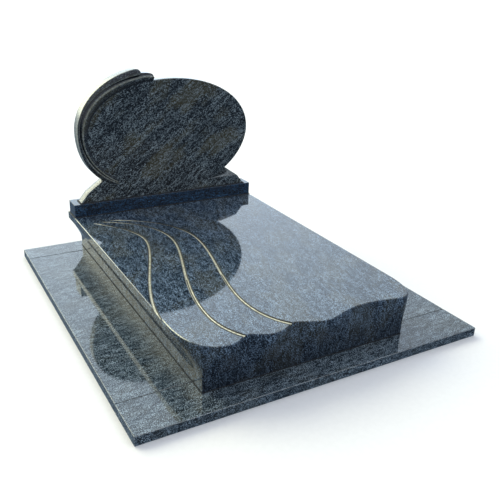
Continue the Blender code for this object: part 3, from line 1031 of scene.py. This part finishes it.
    def foot(self) -> bpy.types.Object:
        """Build the flared foot with its bevelled right shoulder."""
        half = self.foot_width / 2
        right = [Vector((half, 0.0)), Vector((half - self.shoulder_inset, self.shoulder_height)),
                 Vector((half - self.neck_inset, self.neck_height)),
                 Vector((half - self.foot_top_inset, self.foot_top_height))]
        outline = right + [Vector((-spot.x, spot.y)) for spot in reversed(right)]
        foot = self.plate("headstone_foot", outline, -self.foot_proud, self.thickness, Edge.SHARP.value)
        shape = bmesh.new()
        bmesh.ops.create_cube(shape, size=1.0)
        low = Vector((self.facet_start, -self.thickness, 0.0))
        high = Vector((half + self.shoulder_inset, self.thickness * 2, self.thickness))
        bmesh.ops.scale(shape, vec=high - low, verts=shape.verts)
        bmesh.ops.translate(shape, vec=(high + low) / 2, verts=shape.verts)
        bmesh.ops.rotate(shape, verts=shape.verts, cent=(0.0, 0.0, 0.0),
                         matrix=Euler((self.facet_angle, 0.0, 0.0)).to_matrix())
        bmesh.ops.translate(shape, vec=self.spot(Vector((0.0, self.shoulder_height)), 0.0), verts=shape.verts)
        cut(foot, [finished_piece("shoulder_facet", shape)])
        return foot

    def tip(self, start: Vector, knots: tuple) -> list[Vector]:
        """Return the points that carry one edge of a band on to the end of its rounded tip."""
        return bezier([start] + [self.share(spot) for spot in knots], self.tip_steps)

    def band(self, name: str, near_edge: list[Vector], far_edge: list[Vector], profile: tuple,
             crest: float, back: float) -> bpy.types.Object:
        """Build one crescent band along its two edges.

        Args:
            name: The piece's name.
            near_edge: The band's inner edge, from the bands' common end to the tip.
            far_edge: Its outer edge, with as many points.
            profile: Its face from the inner edge outwards: share of the width, share of the
            crest's height, how much painted highlight and how much painted shade it gets there.
            crest: How far its crest stands out of the disc's face.
            back: Its back, measured back from the stone's face.

        Returns:
            The band.
        """
        shape = bmesh.new()
        highlights = shape.verts.layers.float.new(PAINTED_HIGHLIGHT)
        shades = shape.verts.layers.float.new(PAINTED_SHADE)
        rings = []
        last = len(near_edge) - 1
        for index in range(1, last):
            near, far = near_edge[index], far_edge[index]
            swell = min(1.0, index / last / self.band_swell)
            swell = swell * swell * (3.0 - 2.0 * swell)
            start = near.lerp(far, profile[0][0])
            ring = [shape.verts.new(self.spot(start, self.thickness / 2))]
            # pale and dark are the profile's painted highlight and painted shade.
            for out, rise, pale, dark in profile:
                depth = self.band_root - crest * rise * swell
                corner = shape.verts.new(self.spot(near.lerp(far, out), depth))
                corner[highlights] = min(1.0, pale * (1.0 + self.highlight_gain * (1.0 - swell)))
                corner[shades] = dark * min(1.0, self.shade_gain * swell)
                ring.append(corner)
            # The rim gets a painted highlight that grows along the band towards its tip.
            rim = shape.verts.new(self.spot(far, back))
            rim_lighting = (index / last - self.rim_highlight[0]) / (self.rim_highlight[1] - self.rim_highlight[0])
            rim[highlights] = profile[-1][2] * max(0.0, min(1.0, rim_lighting))
            ring.append(rim)
            ring.append(shape.verts.new(self.spot(start, back)))
            rings.append(ring)
        skin_rings(shape, rings)
        return finished_piece(name, shape, self.smooth_angle)

    def bands(self) -> list[bpy.types.Object]:
        """Build both bands, the outer over the inner, with their rounded tips."""
        edge = self.line(self.outer_edge)
        middle = self.line(self.outer_step)
        inner = self.line(self.inner_step)
        tucked = [step.lerp(far, self.inner_tuck) for step, far in zip(middle, edge)]
        tucked += self.tip(tucked[-1], self.inner_tip)
        inner += self.tip(inner[-1], self.inner_tip_under)
        middle += self.tip(middle[-1], self.outer_tip_under)
        edge += self.tip(edge[-1], self.outer_tip)
        outer_band = self.band("headstone_outer_band", middle, edge, self.outer_profile,
                               self.outer_crest, self.thickness - self.outer_inset)
        inner_band = self.band("headstone_inner_band", inner, tucked, self.inner_profile,
                               self.inner_crest, self.thickness - self.inner_inset)
        return [outer_band, inner_band]

    def build(self) -> bpy.types.Object:
        """Build the headstone as one piece in place of its plain solid.

        Returns:
            The headstone.
        """
        polish = self.finish.material("headstone_polish", painted_light=True)
        parts = [self.foot(), self.disc(), *self.bands()]
        shape = bmesh.new()
        for part in parts:
            shape.from_mesh(part.data)
        stone = bpy.data.meshes.new("headstone_stone")
        shape.to_mesh(stone)
        shape.free()
        for part in parts:
            bpy.data.objects.remove(part, do_unlink=True)
        piece = link_piece("headstone_stone", stone, self.smooth_angle)
        keep_flat(stone)
        piece.data.materials.append(polish)
        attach(piece, BODY)
        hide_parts("headstone")
        LOG.info("headstone: %d faces", len(stone.polygons))
        return piece


class Light(Enum):
    """The sky's soft lights: axis, cosines at the edge and the core, and colour. Later ones lie on top."""

    SKY_DIM = ((0.0, 0.0, 1.0), -0.04, 0.12, (0.66, 0.72, 0.82))
    SKY_BRIGHT = ((0.16, 0.91, 0.38), 0.66, 1.06, (2.22, 2.60, 2.96))
    GLOW = ((-0.42, 0.78, 0.46), 0.86, 0.975, (5.4, 5.5, 4.4))
    RIM = ((-0.15, 0.73, 0.67), 0.956, 0.994, (5.4, 5.5, 4.4))
    TOP = ((0.47, -0.25, 0.86), 0.96, 0.985, (1.7, 1.9, 2.1))


@dataclass
class Studio:
    """The pale floor, the soft light and the camera."""

    floor_radius: float = 150.0
    ground: Colour = (0.16, 0.22, 0.30)
    camera_place: tuple[float, float, float] = (-1.5563, -2.8628, 1.6700)
    camera_heading: float = 0.53494
    camera_pitch: float = 0.40523
    camera_roll: float = -0.04043
    camera_lens: float = 45.20

    def camera(self) -> None:
        """Add the camera at the photograph's viewing angle."""
        data = bpy.data.cameras.new("camera")
        data.lens = self.camera_lens
        data.sensor_width = 36.0
        data.clip_end = 500.0
        camera = bpy.data.objects.new("camera", data)
        bpy.context.scene.collection.objects.link(camera)
        turn = Euler((math.pi / 2 - self.camera_pitch, 0.0, -self.camera_heading)).to_matrix()
        roll = Euler((0.0, 0.0, -self.camera_roll)).to_matrix()
        camera.matrix_world = (turn @ roll).to_4x4()
        camera.location = self.camera_place
        bpy.context.scene.camera = camera

    def floor(self) -> None:
        """Add the wide pale floor."""
        shape = bmesh.new()
        bmesh.ops.create_circle(shape, cap_ends=True, segments=96, radius=self.floor_radius)
        mesh = bpy.data.meshes.new("studio_floor")
        shape.to_mesh(mesh)
        shape.free()
        floor = bpy.data.objects.new("studio_floor", mesh)
        bpy.context.scene.collection.objects.link(floor)
        mesh.materials.append(FLOOR.material("studio_floor"))
        floor.visible_glossy = False
        floor.visible_diffuse = False

    def sky(self) -> None:
        """Light the studio all round, brightest behind the monument."""
        world = bpy.data.worlds.new("studio_light")
        world.use_nodes = True
        bpy.context.scene.world = world
        tree = world.node_tree
        background = tree.nodes["Background"]
        place = tree.nodes.new("ShaderNodeTexCoord")
        shown = tree.nodes.new("ShaderNodeRGB").outputs[0]
        shown.default_value = (*self.ground, 1.0)
        for light in Light:
            axis, edge, core, tone = light.value
            mix = tree.nodes.new("ShaderNodeMix")
            mix.data_type = "RGBA"
            mix.inputs[7].default_value = (*tone, 1.0)
            tree.links.new(self.lobe(tree, place, Vector(axis).normalized(), edge, core), mix.inputs[0])
            tree.links.new(shown, mix.inputs[6])
            shown = mix.outputs[2]
        tree.links.new(shown, background.inputs["Color"])

    def lobe(self, tree: bpy.types.NodeTree, place: bpy.types.Node, axis: Vector, edge: float,
             core: float) -> bpy.types.NodeSocket:
        """Return how much of a soft light round an axis shows in each direction.

        Args:
            tree: The sky's nodes.
            place: The node that gives the direction.
            axis: The light's middle.
            edge: The cosine at which it starts.
            core: The cosine from which it is full.

        Returns:
            The socket, from 0 to 1.
        """
        aim = tree.nodes.new("ShaderNodeVectorMath")
        aim.operation = "DOT_PRODUCT"
        aim.inputs[1].default_value = axis
        tree.links.new(place.outputs["Generated"], aim.inputs[0])
        spread = tree.nodes.new("ShaderNodeMapRange")
        spread.interpolation_type = "SMOOTHSTEP"
        spread.inputs["From Min"].default_value = edge
        spread.inputs["From Max"].default_value = core
        tree.links.new(aim.outputs["Value"], spread.inputs["Value"])
        return spread.outputs["Result"]

    def build(self) -> None:
        """Set up the whole studio."""
        self.camera()
        self.floor()
        self.sky()
        bpy.context.scene.view_settings.view_transform = "Standard"
        LOG.info("studio: floor, light and camera")


def main() -> None:
    """Build the looks from the ground up."""
    logging.basicConfig(level=logging.INFO, format="%(name)s: %(message)s")
    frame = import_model()
    nodes = frame["nodes"]
    Studio().build()
    PlainStones(("base_front", "base_left", "base_right", "base_rear"), BASE_STONE).dress(nodes)
    slab_low, slab_high = (Vector(corner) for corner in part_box("tomb_slab"))
    slab = TombSlab(left=slab_low.x + TombSlab.side_overhang, front=slab_low.y + TombSlab.lobe_reach,
                    bottom=slab_low.z, top=slab_high.z)
    slab.build()
    ContactShadowBead("slab_contact_shadow", (slab.left, slab.front),
            (slab.left + slab.width, slab.front + slab.length), slab_low.z, Bead.UNDER_SLAB.value).build()
    plinth_low, plinth_high = (Vector(corner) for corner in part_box("plinth"))
    PlainStones(("plinth",), PLINTH_STONE, ground=0.25).dress(nodes)
    ContactShadowBead("plinth_contact_shadow", plinth_low.xy.to_tuple(), plinth_high.xy.to_tuple(),
            slab_high.z, Bead.UNDER_PLINTH.value).build()
    stone_low, stone_high = (Vector(corner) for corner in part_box("headstone"))
    stone = Headstone(axis=slab.left + slab.width / 2, face=stone_high.y - Headstone.thickness,
                      bottom=stone_low.z)
    stone.build()
    half = stone.foot_width / 2
    ContactShadowBead("headstone_contact_shadow", (stone.axis - half, stone.face),
            (stone.axis + half, stone.face + stone.thickness),
            plinth_high.z, Bead.UNDER_HEADSTONE.value).build()


if __name__ == "__main__":
    main()
